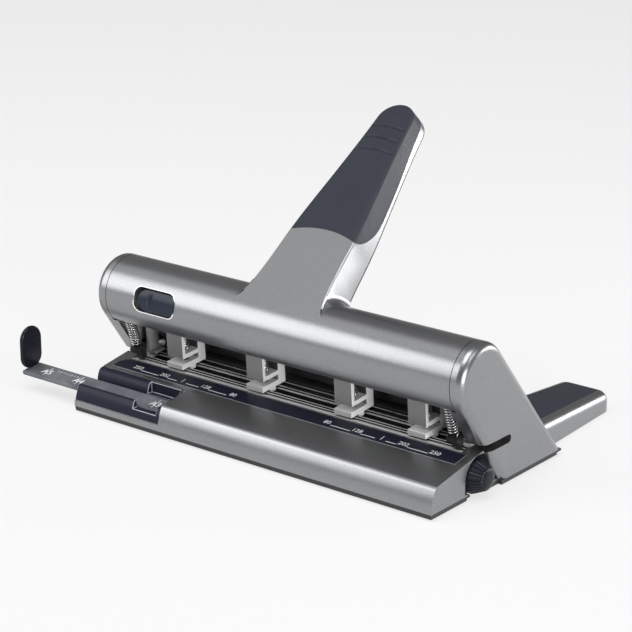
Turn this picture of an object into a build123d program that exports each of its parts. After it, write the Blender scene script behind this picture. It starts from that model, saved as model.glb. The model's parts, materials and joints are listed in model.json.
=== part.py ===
from build123d import *
import os
from math import atan2, cos, hypot, pi, radians, sin, sqrt, tan

# A lever punch for rows of holes: four punch units slide on a rail under a half-round
# cover, and the lever that carries the cover drives every pin down at once.
# Millimetres. X runs along the row of holes from its middle, Y runs back from the front
# edge of the base, and Z runs up from the desk. place() moves the origin to mid-base.

# ------------------------------------------------------------------ base and ledge
base_length = 300.5
base_depth = 143.0
tray_gap = 1.0               # air under the chip tray
tray_floor = 1.4
plate_gap = 0.2
base_plate_thickness = 1.6
wall = 2.0                   # casing walls
ledge_front_y = 0.4
ledge_nose_y = 4.6
ledge_nose_z = 20.9
ledge_slope = 9.4            # degrees, up towards the back
nose_radius = 3.2
ledge_depth = 47.0           # front edge to the rail
seat_gap = 0.3               # between a seated piece and what carries it
side_gap = 0.5               # round a piece that moves

strip_left = -145.0
strip_right = 144.2
strip_front = 33.2
strip_rear = 46.3
strip_depth = 0.9
strip_corner = 8.0
land_inner = 139.4           # where the casing's end lands begin

# ------------------------------------------------------------------ chip tray
tray_half = 132.0
tray_front = 34.0
tray_rear = 108.0
tray_wall = 1.2
tray_wall_top = 10.4
tray_pin = 0.75
tray_lug = 20.0
tray_hinge_places = (-60.0, 60.0)
base_foot_places = ((-134.0, 16.0), (134.0, 16.0), (-134.0, 124.0), (134.0, 124.0))
rear_foot_rubber_y = 216.0

# ------------------------------------------------------------------ rail and table
rail_ribs = (2.6, 5.6, 16.0, 22.4)
flange_half = 131.6
flange_low = 18.5
chip_slot = 7.0
table_half = 131.6
table_top = 32.0
table_back = 106.0
table_sheet = 1.5

# ------------------------------------------------------------------ cheeks and cover
pivot_y = 51.0
pivot_z = 77.2
cover_radius = 24.1
cover_wall = 2.0
cover_half = 143.0
cheek_outer = 153.0
cheek_inner = 139.5
cheek_round = 5.5
front_lean = 55.0            # slope of the cheek's front edge
rear_lean = 50.3             # slope of its rear edge
cover_front_angle = 226.0    # the cover's edges, about the pivot from the back
cover_rear_angle = 8.0
paper_slot_low = 27.8
paper_slot_high = 33.4
paper_slot_end = 82.0
cheek_wall = 2.2
frame_near = 145.0
frame_thickness = 3.0
bush_radius = 8.0
bush_near = 144.2
bush_far = 148.6
handle_gap = 37.0            # half width of the notch the handle sinks into
handle_notch_z = 73.0

# ------------------------------------------------------------------ lever
lever_swing = 38.0
handle_slope = 38.8
handle_length = 175.0        # pivot to tip
handle_draft = 2.7           # the underside closes on the top face
grip_thickness = 2.4
shaft_radius = 5.0
rod_radius = 3.0
crank_radius = 8.5
crank_start = 12.0           # degrees above square to the pins
rib_thickness = 3.0
rib_places = (24.0, 128.0)
running_fit = 0.05

# ------------------------------------------------------------------ punch units
unit_centres = (-100.2, -29.2, 45.1, 104.0)
unit_width = 14.1
unit_tilt = 4.5
die_front_y = 48.5
die_front_z = 29.1
die_depth = 24.0
die_thickness = 3.8
throat_height = 3.7
throat_depth = 16.8
tower_front = 1.3
tower_top = 26.0
tower_floor = 3.0
front_plate = 2.6
rear_wall_front = 16.8
pin_offset = 10.5
pin_radius = 2.75
pin_head_radius = 4.9
pin_head_thickness = 2.5
pin_head_top = 37.8
pin_lift = 0.3               # tip above the throat at rest
press_gap = 0.3
bar_front = 5.0
bar_step = 11.9
bar_back = 20.0
bar_thickness = 4.0
unit_spring_wire = 0.9
unit_spring_radius = 4.2
unit_spring_turns = 12
return_spring_wire = 0.8
return_spring_radius = 3.2
return_spring_turns = 14
return_spring_x = 133.8
return_spring_angle = 205.0
return_spring_reach = 16.5
return_spring_foot = (47.6, 38.0)
guide_near = 133.6
bar_tongue = (13.6, 19.0)    # front and back of the press bar's end tongues
bar_rise = 8.1

# ------------------------------------------------------------------ guides and knob
bar_width = 15.4
bar_height = 3.0
bar_back_y = 23.0
bar_back_z = 17.1
bar_left = -208.0
bar_right = -78.0
holder_right = -73.4
holder_back = 29.7
holder_bottom = 8.3
window_left = -98.0
window_right = -77.5
paddle_face = -205.0
paddle_thickness = 3.2
paddle_low = 8.4
paddle_high = 25.2
paddle_top = 46.0
knob_y = 51.0
knob_z = 13.4
knob_radius = 12.0
knob_end_radius = 7.4
knob_near = 146.6
knob_far = 157.2
knob_dome = 1.4
plate_notch = 9.0            # half width of the notch for the knob in the base plate
tray_notch = 12.0            # and in the chip tray
notch_radius = 14.8
notch_depth = 8.8
knob_shaft_radius = 2.5
gear_module = 0.8
gear_teeth = 15
gear_width = 4.0
gear_near = 132.6
stop_front = 82.0
stop_depth = 4.0
stop_height = 8.6
stop_travel = 8.4            # each way from the middle
rack_front = 39.5
rack_back = 90.0
rack_top = 22.9
rack_reach = 3.2             # teeth beyond the travel
shaft_end = 152.0
lock_left = -117.4
lock_right = -82.0
lock_travel = 5.5
lock_low = -9.0              # slot edges about the pivot, up from the front
lock_high = 32.0

# ------------------------------------------------------------------ feet
foot_x = 116.6
foot_end = 232.0
foot_half_front = 24.6
foot_half_back = 19.6
foot_high = 19.4
foot_low = 14.4
foot_pad_inset = 6.8
foot_pad_depth = 1.6
foot_round = 7.0             # the rounding along a foot's top edge
rubber_radius = 8.0
desk_clear = 0.8             # foot shells above the desk
foot_screw_places = (160.0, 196.0)
screw_radius = 1.5
screw_head_radius = 3.0

# ------------------------------------------------------------------ lever outlines
# half widths of the handle's top face at distances from the pivot
handle_plan = (
    (0.0, 38.0), (5.0, 34.4), (10.0, 32.3), (17.0, 30.7), (28.0, 29.2), (44.0, 27.8),
    (61.0, 26.7), (100.0, 21.8), (135.0, 17.1), (161.0, 14.3),
)
handle_side_lean = 6.4       # degrees, wider below
handle_edge_round = 1.0
# the grip's edge on the handle's sides, along the slope and up from the pivot's plane
grip_side = (
    (60.0, 27.0), (61.0, 24.1), (63.3, 19.6), (70.5, 13.2),
    (79.0, 9.2), (92.0, 7.6), (127.0, 9.0), (190.0, 12.8),
)
grip_half_width = 26.7        # the handle's half width where the grip's edge meets its sides
grip_top_edge = 66.1         # the grip's edge in the middle of the top face
handle_wall = 4.4
rim_height = 1.4             # height of the dark underside at the handle's edge
handle_screw_places = (58.0, 138.0)
slider_left = -111.5
lock_round = 5.5
slider_wall = 1.8

# ------------------------------------------------------------------ derived sizes
half = base_length / 2
tray_low = tray_gap
tray_high = tray_low + tray_floor
plate_low = tray_high + plate_gap
plate_high = plate_low + base_plate_thickness
cheek_bottom = plate_high
slope = tan(radians(ledge_slope))
inner_radius = cover_radius - cover_wall
pin_tip = die_thickness + throat_height + pin_lift
tower_base = die_thickness + throat_height
crank_low = lever_swing - crank_start
stroke = crank_radius * (sin(radians(crank_start)) + sin(radians(crank_low)))
crank_angle = crank_start + unit_tilt
gear_radius = gear_module * gear_teeth / 2
gear_pitch = gear_module * pi
tray_hinge_y = base_depth - 3.0
tray_hinge_z = tray_high
tray_barrel = tray_floor


def place(shape):
    """The origin of the finished part is on the desk, under the middle of the base."""
    return Pos(0, -base_depth / 2, 0) * shape


def save(name, shape):
    solids = place(shape).solids()
    part = solids[0] if len(solids) == 1 else Compound(children=list(solids))
    part.label = name
    export_step(part, f"parts/{name}.step")


def box(x0, x1, y0, y1, z0, z1):
    middle = ((x0 + x1) / 2, (y0 + y1) / 2, (z0 + z1) / 2)
    return Pos(*middle) * Box(abs(x1 - x0), abs(y1 - y0), abs(z1 - z0))


def prism(points, x0, x1):
    """A Y-Z outline carried along X."""
    outline = [(0, y, z) for y, z in points]
    face = make_face(Polyline(*outline, close=True))
    return Pos(min(x0, x1), 0, 0) * extrude(face, amount=abs(x1 - x0), dir=(1, 0, 0))


def rod(radius, x0, x1, y, z):
    """A round bar along X."""
    return Pos((x0 + x1) / 2, y, z) * Rot(0, 90, 0) * Cylinder(radius, abs(x1 - x0))


def mirrored(shape):
    return mirror(shape, about=Plane.YZ)


def about_pivot(angle, radius):
    """A point about the lever's pivot: 0 points back, 90 up and 180 forward."""
    turn = radians(angle)
    return (pivot_y + radius * cos(turn), pivot_z + radius * sin(turn))


def ledge_z(y, below=0.0):
    return ledge_nose_z + (y - ledge_nose_y) * slope - below


def in_unit(u, v):
    """Unit coordinates (back along the die, up along the pin) in Y and Z."""
    tilt = radians(unit_tilt)
    y = die_front_y + u * cos(tilt) - v * sin(tilt)
    z = die_front_z + u * sin(tilt) + v * cos(tilt)
    return (y, z)


def tilted(points, x0, x1):
    return prism([in_unit(u, v) for u, v in points], x0, x1)


def tilted_box(x0, x1, u0, u1, v0, v1):
    return tilted([(u0, v0), (u1, v0), (u1, v1), (u0, v1)], x0, x1)


def along_pin(shape):
    """Stands a shape drawn about +Z on the unit's tilted pin axis."""
    return Pos(0, die_front_y, die_front_z) * Rot(unit_tilt, 0, 0) * shape


def pin_cylinder(x, radius, v0, v1):
    body = Pos(x, pin_offset, (v0 + v1) / 2) * Cylinder(radius, v1 - v0)
    return along_pin(body)


def sector(radius, from_angle, to_angle, x0, x1, steps=24):
    """A wedge about the pivot, used to cut rings and ribs to their angles."""
    span = to_angle - from_angle
    rim = [about_pivot(from_angle + span * i / steps, radius) for i in range(steps + 1)]
    return prism([(pivot_y, pivot_z)] + rim, x0, x1)


# ------------------------------------------------------------------ wound springs
def biarc(start, start_way, end, end_way):
    """Two arcs, tangent to both directions and to each other."""
    across = end - start
    ways = start_way + end_way
    both = 2 * (1 - start_way.dot(end_way))
    reach = across.dot(ways)
    d = (sqrt(reach * reach + both * across.dot(across)) - reach) / both
    near = start + start_way * d
    far = end - end_way * d
    joint = (near + far) * 0.5
    way = (far - near).normalized()
    return [TangentArc(start, joint, tangent=start_way), TangentArc(joint, end, tangent=way)]


def wire_path(radius, wire, turns, length):
    """A helix about +Z whose two ends turn into the axis and run straight to the seats."""
    lead = 3.2 * wire
    climb = length - 2 * lead
    quarters = turns * 4
    rise = climb / quarters
    steep = atan2(rise, radius * pi / 2)
    up = Vector(0, 0, 1)
    places, ways = [], []
    for i in range(quarters + 1):
        a = i * pi / 2
        places.append(Vector(radius * cos(a), radius * sin(a), lead + rise * i))
        flat = cos(steep)
        ways.append(Vector(-sin(a) * flat, cos(a) * flat, sin(steep)))
    back = -0.45
    first = Vector(radius * cos(back), radius * sin(back), wire)
    a = turns * 2 * pi - back
    last = Vector(radius * cos(a), radius * sin(a), length - wire)
    edges = [Line(first - up * wire, first)]
    edges += biarc(first, up, places[0], ways[0])
    for i in range(quarters):
        edges += biarc(places[i], ways[i], places[i + 1], ways[i + 1])
    edges += biarc(places[-1], ways[-1], last, up)
    edges.append(Line(last, last + up * wire))
    return edges


def least_gap(edges, wire, name):
    """The least gap of a wire to its own next turns, measured on points and printed."""
    points = []
    for edge in edges:
        points += [edge @ (i / 6) for i in range(6)]
    lengths = [0.0]
    for a, b in zip(points, points[1:]):
        lengths.append(lengths[-1] + (b - a).length)
    least = 1e9
    for i, a in enumerate(points):
        for j in range(i + 1, len(points)):
            if lengths[j] - lengths[i] > 6 * wire:
                least = min(least, (points[j] - a).length)
    print(f"{name}: least gap of the wire to itself {least - wire:.2f} mm")


def wound_spring(radius, wire, turns, length, name):
    edges = wire_path(radius, wire, turns, length)
    least_gap(edges, wire, name)
    path = Wire(edges)
    section = Plane(edges[0] @ 0, z_dir=(0, 0, 1)) * Circle(wire / 2)
    return sweep(section, path=path)


# ------------------------------------------------------------------ cheek outlines
def tangent_line(normal_angle, offset, z):
    """Y where a line beside the cover's circle crosses a height."""
    a = radians(normal_angle)
    return pivot_y + (offset - (z - pivot_z) * sin(a)) / cos(a)


front_normal = 180 + 90 - front_lean
rear_normal = 90 - rear_lean


def cheek_body(inset, x0, x1, bottom=cheek_bottom):
    """A round head on two tangents that lean back to the base."""
    radius = cover_radius - inset
    back = about_pivot(rear_normal, radius)
    front = about_pivot(front_normal, radius)
    top = about_pivot((rear_normal + front_normal) / 2, radius)
    low_front = (tangent_line(front_normal, radius, bottom), bottom)
    low_back = (tangent_line(rear_normal, radius, bottom), bottom)
    lift = [(0, y, z) for y, z in (back, top, front, low_front, low_back)]
    edges = [
        ThreePointArc(lift[0], lift[1], lift[2]),
        Line(lift[2], lift[3]),
        Line(lift[3], lift[4]),
        Line(lift[4], lift[0]),
    ]
    face = make_face(edges)
    return Pos(min(x0, x1), 0, 0) * extrude(face, amount=abs(x1 - x0), dir=(1, 0, 0))


def paper_slot(x0, x1, grow=0.0):
    """The slot that lets a sheet wider than the machine pass out at the side."""
    low = paper_slot_low - grow
    high = paper_slot_high + grow
    mid = (low + high) / 2
    centre = paper_slot_end - (paper_slot_high - paper_slot_low) / 2
    return box(x0, x1, 40, centre, low, high) + rod((high - low) / 2, x0, x1, centre, mid)


# ------------------------------------------------------------------ fixed pieces
def chip_tray():
    edge = 0.4
    end = tray_hinge_y - 2.4
    floor = box(-half + edge, half - edge, 1.0, end, tray_low, tray_high)
    floor += box(-cheek_outer + edge, cheek_outer - edge, 73.5, end, tray_low, tray_high)
    floor += Pos(0, base_depth / 2, tray_low / 2) * Cylinder(rubber_radius, tray_low)
    floor -= box(knob_near - 5, half, knob_y - tray_notch, knob_y + tray_notch, 0, tray_high + 1)
    outer = box(-tray_half, tray_half, tray_front, tray_rear, tray_high, tray_wall_top)
    inner = box(
        -tray_half + tray_wall, tray_half - tray_wall,
        tray_front + tray_wall, tray_rear - tray_wall,
        tray_high, tray_wall_top + 1,
    )
    body = floor + (outer - inner)
    for x, y in base_foot_places:
        body -= Pos(x, y, 0) * Cylinder(rubber_radius + side_gap, 20)
    for x in tray_hinge_places:
        half_lug = tray_lug / 2
        barrel = rod(tray_barrel, x - half_lug, x + half_lug, tray_hinge_y, tray_hinge_z)
        web = box(x - half_lug, x + half_lug, tray_hinge_y - 4, tray_hinge_y, tray_low, tray_high)
        body += barrel + web
        body -= rod(tray_pin + running_fit, x - 17, x + 17, tray_hinge_y, tray_hinge_z)
    return body


def tray_hinge_pins():
    """Pins on the base plate that the chip tray swings on."""
    reach = tray_lug / 2 + 6
    pins = []
    for x in tray_hinge_places:
        pins.append(rod(tray_pin, x - reach, x + reach, tray_hinge_y, tray_hinge_z))
    return Compound(children=pins)


def base_plate():
    """A steel plate that all fixed pieces stand on, with a tongue for each rear foot."""
    low, high = plate_low, plate_high
    edge = 0.2
    plate = box(-half + edge, half - edge, 0.8, base_depth - 0.6, low, high)
    plate += box(-cheek_outer + edge, cheek_outer - edge, 73.2, base_depth - 0.6, low, high)
    plate -= box(-tray_half - 1, tray_half + 1, tray_front - 1, tray_rear + 1, low - 1, high + 1)
    plate -= box(knob_near - 1, half, knob_y - plate_notch, knob_y + plate_notch, low - 1, high + 1)
    for side in (-1, 1):
        x = side * foot_x
        plate += box(x - 13, x + 13, base_depth - 2, foot_end - 12, low, high)
        for y in foot_screw_places:
            plate -= Pos(x, y, low) * Cylinder(screw_radius + running_fit, 6)
    clear = tray_barrel + side_gap
    for x in tray_hinge_places:
        reach = tray_lug / 2
        notch = box(
            x - reach - side_gap, x + reach + side_gap,
            tray_hinge_y - clear - 1.4, base_depth + 1, low - 1, high + 1,
        )
        plate -= notch
        for end in (-1, 1):
            lug_x = x + end * (reach + side_gap + 3)
            plate += box(
                lug_x - 2.5, lug_x + 2.5, tray_hinge_y - 1.5, tray_hinge_y + 1.5,
                tray_low + 0.2, low,
            )
            plate -= rod(tray_pin + running_fit, x - 17, x + 17, tray_hinge_y, tray_hinge_z)
    return plate


def rubber_feet():
    """Four pads under the base and one under the end of each rear foot."""
    pads = []
    for x, y in base_foot_places:
        pads.append(Pos(x, y, plate_low / 2) * Cylinder(rubber_radius, plate_low))
    for side in (-1, 1):
        pads.append(
            Pos(side * foot_x, rear_foot_rubber_y, plate_low / 2)
            * Cylinder(rubber_radius, plate_low)
        )
    return Compound(children=pads)


def ledge_outline(inset):
    """The ledge in section: a leaning front and a sloping top."""
    back = 75.0
    return [
        (ledge_front_y + inset, plate_high),
        (ledge_nose_y + inset, ledge_z(ledge_nose_y + inset, inset)),
        (back, ledge_z(back, inset)),
        (back, plate_high),
    ]


def ledge_solid(inset, x0, x1):
    body = prism(ledge_outline(inset), x0, x1)
    nose = [
        e for e in body.edges().filter_by(Axis.X)
        if e.center().Z > ledge_nose_z - 6 and e.center().Y < ledge_nose_y + 4
    ]
    return fillet(nose, nose_radius - inset)


def base_casing():
    """The silver front ledge, open behind for the rail, with a land at each end."""
    body = ledge_solid(0, -half, half)
    hollow = ledge_solid(wall, -half + wall, half - wall)
    body -= hollow
    body -= box(-land_inner, land_inner, ledge_depth, 90, 0, 60)
    for side in (-1, 1):
        body -= cheek_body(0, side * 100, side * 200, bottom=0)
    notch_x = half - notch_depth
    notch = rod(notch_radius, notch_x, half + 5, knob_y, knob_z)
    notch += box(notch_x, half + 5, knob_y - notch_radius, 90, plate_high + 1.2, knob_z)
    inner = rod(notch_radius + wall, notch_x - wall, half, knob_y, knob_z)
    inner += box(notch_x - wall, half, knob_y - notch_radius - wall, 66, plate_high, knob_z)
    outer = ledge_solid(0, half - 20, half) - cheek_body(0, 100, 200, bottom=0)
    body += inner & outer
    body -= notch
    body -= rod(knob_shaft_radius + side_gap, 100, 160, knob_y, knob_z)
    body -= strip_prism(0.0, 10.0)
    body -= prism(holder_seat(), -half - 1, holder_right)
    return body


def strip_prism(inset, above):
    """A slab on the ledge's slope, from the strip's underside to some way above it."""
    y0, y1 = strip_front + inset, strip_rear - inset
    points = [
        (y0, ledge_z(y0, strip_depth)),
        (y1, ledge_z(y1, strip_depth)),
        (y1, ledge_z(y1, -above)),
        (y0, ledge_z(y0, -above)),
    ]
    plan = box(strip_left + inset, strip_right - inset, y0, y1, 0, 60)
    corner = [e for e in plan.edges().filter_by(Axis.Z) if e.center().Y > y1 - 1]
    plan = fillet(sorted(corner, key=lambda e: e.center().X)[0], strip_corner)
    return plan & prism(points, strip_left - 1, strip_right + 1)


def scale_strip():
    """The dark strip with the hole pattern marks, flush in the ledge."""
    return strip_prism(0.1, 0.0)


def holder_seat():
    """The part of the ledge that the guide bar's holder takes the place of."""
    return [
        (-1, holder_bottom),
        (holder_back, holder_bottom),
        (holder_back, ledge_z(holder_back) + 5),
        (-1, ledge_z(holder_back) + 5),
    ]


def bar_outline(gap):
    """The guide bar in section, lying on the ledge's slope."""
    a = radians(ledge_slope)
    along = (cos(a), sin(a))
    up = (-sin(a), cos(a))

    def corner(back, high):
        y = bar_back_y + back * along[0] + high * up[0]
        z = bar_back_z + back * along[1] + high * up[1]
        return (y, z)

    return [
        corner(gap, gap),
        corner(-bar_width - gap, gap),
        corner(-bar_width - gap, -bar_height - gap),
        corner(gap, -bar_height - gap),
    ]


def guide_holder():
    """The dark carrier at the ledge's left front, with a groove for the guide bar."""
    x0, x1 = -half, holder_right - 0.1
    groove = bar_outline(0.25)
    outline = [
        (1.0, holder_bottom),
        (1.6, 10.4),
        (3.0, 14.6),
        (4.6, 18.3),
        (5.5, 18.9),
        (7.2, 18.9),
        groove[1],
        groove[2],
        groove[3],
        groove[0],
        (23.5, 18.6),
        (24.2, 21.2),
        (25.3, 23.4),
        (27.0, 24.7),
        (holder_back - 0.1, ledge_z(holder_back) - 0.1),
        (holder_back - 0.1, holder_bottom),
    ]
    body = prism(outline, x0, x1)
    front_cut = box(window_left, window_right, -5, 9.5, 13.9, 30)
    bulge_cut = box(window_left - 5, window_right + 1.5, 15, 27.6, groove[0][1], 40)
    return body - front_cut - bulge_cut


def die_rail():
    """The steel rail under the dies: ribs and a bright front lip above, two flanges below."""
    top = -seat_gap
    web = top - 1.2
    low = in_unit(0, -4.6)[1]
    lip_y = ledge_depth
    plate = [
        (lip_y, low),
        (lip_y, ledge_z(lip_y) + 0.25),
        (lip_y + 1.2, ledge_z(lip_y) + 0.25),
        in_unit(1.0, web),
        in_unit(25.0, web),
        (in_unit(25.0, web)[0], low + 1.8),
    ]
    body = prism(plate, -land_inner + 0.1, land_inner - 0.1)
    for u in rail_ribs:
        body += tilted_box(-land_inner + 0.1, land_inner - 0.1, u, u + 1.0, web - 0.5, top)
    body += box(-flange_half, flange_half, lip_y, lip_y + 0.9, flange_low, low + 1)
    back_y = in_unit(25.0, web)[0]
    body += box(-flange_half, flange_half, back_y - 1.2, back_y, flange_low, low + 2.5)
    for side in (-1, 1):
        end = land_inner - 0.1
        leg = box(side * (end - 1.8), side * end, lip_y + 0.2, 57.5, plate_high, low + 1)
        body += leg - rod(knob_shaft_radius + running_fit, -150, 150, knob_y, knob_z)
    body -= tilted_box(
        -tray_half + 3, tray_half - 3,
        pin_offset - chip_slot / 2, pin_offset + chip_slot / 2, -12, 4,
    )
    return body


def table_plate():
    """The dark sheet behind the rail that a pushed-in stack lies on, bent down to the base."""
    front = in_unit(25.0, -1.5)[0] + 0.1
    under = table_top - table_sheet
    x = table_half
    shelf = tray_wall_top + 1
    body = box(-x, x, front, table_back, under, table_top)
    body += box(-x, x, front, front + 1.2, in_unit(25, -4.0)[1], under)
    body += box(-x, x, table_back - table_sheet, table_back, shelf, under)
    body += box(-x, x, table_back - table_sheet, table_back + 8, shelf, shelf + table_sheet)
    body += box(-x, x, table_back + 6.5, table_back + 8, plate_high, shelf)
    return body


def rear_cover():
    """The sloping back between the cheeks, cut away at the top for the lever."""
    a = radians(rear_normal)
    start = 11.8

    def on_line(distance, run):
        y = pivot_y + distance * cos(a) + run * sin(a)
        z = pivot_z + distance * sin(a) - run * cos(a)
        return (y, z)

    inner = cover_radius - wall
    outline = [
        on_line(cover_radius, start),
        on_line(inner, start),
        (tangent_line(rear_normal, inner, plate_high), plate_high),
        (tangent_line(rear_normal, cover_radius, plate_high), plate_high),
    ]
    edge = cheek_inner - 0.2
    body = prism(outline, -edge, edge)
    return body - box(-handle_gap, handle_gap, 60, 120, handle_notch_z, 120)


def cheek(side):
    """An end casing: a rounded flat outer face on a rim that follows the cover."""
    outer, inner = cheek_outer, cheek_inner
    block = cheek_body(0, inner, outer)
    rim = [e for e in block.faces().sort_by(Axis.X)[-1].edges() if e.center().Z > cheek_bottom + 1]
    block = fillet(rim, cheek_round)
    body = block - cheek_body(cheek_wall, inner - 1, outer - cheek_wall, bottom=0)
    body += block & paper_slot(inner, outer - cheek_wall + 0.5, grow=1.6)
    body -= paper_slot(100, 160)
    body -= rod(cover_radius + 0.6, 100, cover_half + 0.5, pivot_y, pivot_z)
    return body if side > 0 else mirrored(body)


def side_frame(side):
    """The steel side plate inside a cheek that carries the pivot."""
    inset = cheek_wall + seat_gap
    body = cheek_body(inset, frame_near, frame_near + frame_thickness, bottom=plate_high)
    body -= paper_slot(100, 160, grow=2.4)
    body -= rod(bush_radius, 100, 160, pivot_y, pivot_z)
    foot = box(
        frame_near - 4.2, frame_near, 84, tangent_line(rear_normal, cover_radius - inset, 8),
        plate_high, plate_high + 2.0,
    )
    body += foot & cheek_body(inset, 100, 160)
    return body if side > 0 else mirrored(body)


def pivot_bushes():
    """Two bronze bushes in the side plates that the shaft turns in."""
    bushes = []
    for side in (-1, 1):
        bush = rod(bush_radius, side * bush_near, side * bush_far, pivot_y, pivot_z)
        bush -= rod(shaft_radius + running_fit, side * 140, side * 150, pivot_y, pivot_z)
        bushes += bush.solids()
    return Compound(children=bushes)


def press_guide(side):
    """An upright on the rail whose slot keeps the press bar in line with the pins."""
    x0, x1 = guide_near, guide_near + 3.0
    slot_front = bar_tongue[0] - 0.1
    slot_back = bar_tongue[1] + 0.1
    bar_top = pin_head_top + press_gap + bar_rise
    body = tilted_box(x0, x1, slot_front - 1.9, slot_back + 2.0, -0.2, bar_top + 1.5)
    body -= tilted_box(x0 - 1, x1 + 1, slot_front, slot_back, pin_head_top - stroke - 1, 80)
    body += tilted_box(x0 - 5, x1, slot_front - 1.9, slot_back + 2.0, -0.2, 1.6)
    return body if side > 0 else mirrored(body)


def return_spring_line():
    """The two ends of a return spring, seen from the side."""
    top = about_pivot(return_spring_angle, return_spring_reach)
    return top, return_spring_foot


def spring_frame():
    """A plane at the spring's lower end whose Z runs up the spring."""
    (top_y, top_z), (low_y, low_z) = return_spring_line()
    way = Vector(0, top_y - low_y, top_z - low_z).normalized()
    length = hypot(top_y - low_y, top_z - low_z)
    plane = Plane(origin=(return_spring_x, low_y, low_z), x_dir=(1, 0, 0), z_dir=way)
    return plane, length


def return_spring(side):
    plane, length = spring_frame()
    name = "return spring"
    coil = wound_spring(
        return_spring_radius, return_spring_wire, return_spring_turns, length, name
    )
    body = plane.location * coil
    return body if side > 0 else mirrored(body)


def spring_anchors():
    """Blocks on the rail that the return springs are hooked to."""
    plane, _ = spring_frame()
    pad = plane.location * (Pos(0, 0, -1.6) * Box(8.4, 8.4, 3.0))
    stem = tilted_box(return_spring_x - 2.6, return_spring_x + 2.6, 0.4, 5.2, -0.2, 6.8)
    body = pad + stem
    return Compound(children=body.solids() + mirrored(body).solids())


def rear_foot(side):
    """A tapering foot behind a cheek that keeps the machine from tipping back."""
    body = foot_solid(0.0)
    ceiling = foot_low - foot_pad_depth - 2.6
    body -= foot_solid(2.4) & box(0, 200, 0, 300, 0, ceiling)
    for y in foot_screw_places:
        body += Pos(foot_x, y, (plate_high + ceiling + 0.5) / 2) * Cylinder(
            3.5, ceiling + 0.5 - plate_high - 0.2
        )
        body -= Pos(foot_x, y, 0) * Cylinder(screw_radius + running_fit, 18.4)
    body -= pad_solid(10.0)
    body -= cheek_body(-0.1, 60, 200, bottom=0)
    return body if side > 0 else mirrored(body)


def foot_solid(inset):
    """The foot's block, narrower and lower towards its end, with a bull-nose rim."""
    front = base_depth - 25
    grow = (foot_half_front - foot_half_back) / (foot_end - base_depth)
    wide = foot_half_front + grow * 25 - inset
    narrow = foot_half_back - inset
    end = foot_end - inset
    plan = make_face(
        Polyline(
            (foot_x - wide, front), (foot_x + wide, front),
            (foot_x + narrow, end), (foot_x - narrow, end), close=True,
        )
    )
    body = Pos(0, 0, desk_clear) * extrude(plan, amount=foot_high + 4, dir=(0, 0, 1))
    corners = [e for e in body.edges().filter_by(Axis.Z) if e.center().Y > end - 1]
    body = fillet(corners, 9.0 - inset)
    fall = (foot_high - foot_low) / (foot_end - base_depth)
    top = [
        (front - 5, foot_high + fall * 30 - inset), (front - 5, 60),
        (foot_end + 5, 60), (foot_end + 5, foot_low - fall * 5 - inset),
    ]
    body -= prism(top, 0, 200)
    rim = [
        e for e in body.faces().sort_by(Axis.Z)[-1].edges()
        if e.center().Y > front + 2
    ]
    return fillet(rim, foot_round - inset)


def pad_solid(above):
    """The sheet let into the foot's top, or with room above it."""
    front = base_depth - 25
    grow = (foot_half_front - foot_half_back) / (foot_end - base_depth)
    wide = foot_half_front + grow * 25 - foot_pad_inset
    narrow = foot_half_back - foot_pad_inset
    end = foot_end - foot_pad_inset
    plan = make_face(
        Polyline(
            (foot_x - wide, front), (foot_x + wide, front),
            (foot_x + narrow, end), (foot_x - narrow, end), close=True,
        )
    )
    body = extrude(plan, amount=60, dir=(0, 0, 1))
    corners = [e for e in body.edges().filter_by(Axis.Z) if e.center().Y > end - 1]
    body = fillet(corners, 2.0)
    fall = (foot_high - foot_low) / (foot_end - base_depth)

    def slab(y, lift):
        return foot_high - fall * (y - base_depth) + lift

    near, far = front - 5, foot_end + 5
    body &= prism(
        [(near, slab(near, -foot_pad_depth)), (far, slab(far, -foot_pad_depth)),
         (far, slab(far, above)), (near, slab(near, above))],
        0, 200,
    )
    return body


def foot_pad(side):
    body = pad_solid(0.0) - cheek_body(-0.1, 60, 200, bottom=0)
    return body if side > 0 else mirrored(body)


def foot_screws():
    """Screws up through the base plate's tongues into the rear feet."""
    screws = []
    for x in (-foot_x, foot_x):
        for y in foot_screw_places:
            head = Pos(x, y, plate_low - 0.1 - 0.5) * Cylinder(screw_head_radius, 1.0)
            shank = Pos(x, y, (plate_low + 8.0) / 2) * Cylinder(screw_radius, 8.2 - plate_low)
            screws += (head + shank).solids()
    return Compound(children=screws)


# ------------------------------------------------------------------ lever pieces
def arm_point(s, p):
    """Distances along and square to the handle's slope, in Y and Z."""
    a = radians(handle_slope)
    return (pivot_y + s * cos(a) - p * sin(a), pivot_z + s * sin(a) + p * cos(a))


def arm_prism(points, x0, x1):
    return prism([arm_point(s, p) for s, p in points], x0, x1)


def underside(s):
    return -0.9 + s * tan(radians(handle_draft))


def arm_above(lift):
    """Everything above the handle's underside, raised by a lift."""
    low, high = 8.0, 190.0
    return arm_prism(
        [(low, underside(low) + lift), (high, underside(high) + lift), (high, 60), (low, 60)],
        -60, 60,
    )


def arm_frame():
    a = radians(handle_slope)
    return Plane(origin=(0, pivot_y, pivot_z), x_dir=(1, 0, 0), z_dir=(0, -sin(a), cos(a)))


def arm_face(grow, p):
    """The handle's plan, grown all round, at a height above the pivot's plane."""
    side = [(w + grow, s) for s, w in handle_plan]
    other = [(-x, s) for x, s in side]
    tip = ThreePointArc(side[-1], (0, handle_length + grow), other[-1])
    return Pos(0, 0, p) * make_face([Spline(*side), tip, Spline(*other), Line(other[0], side[0])])


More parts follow.
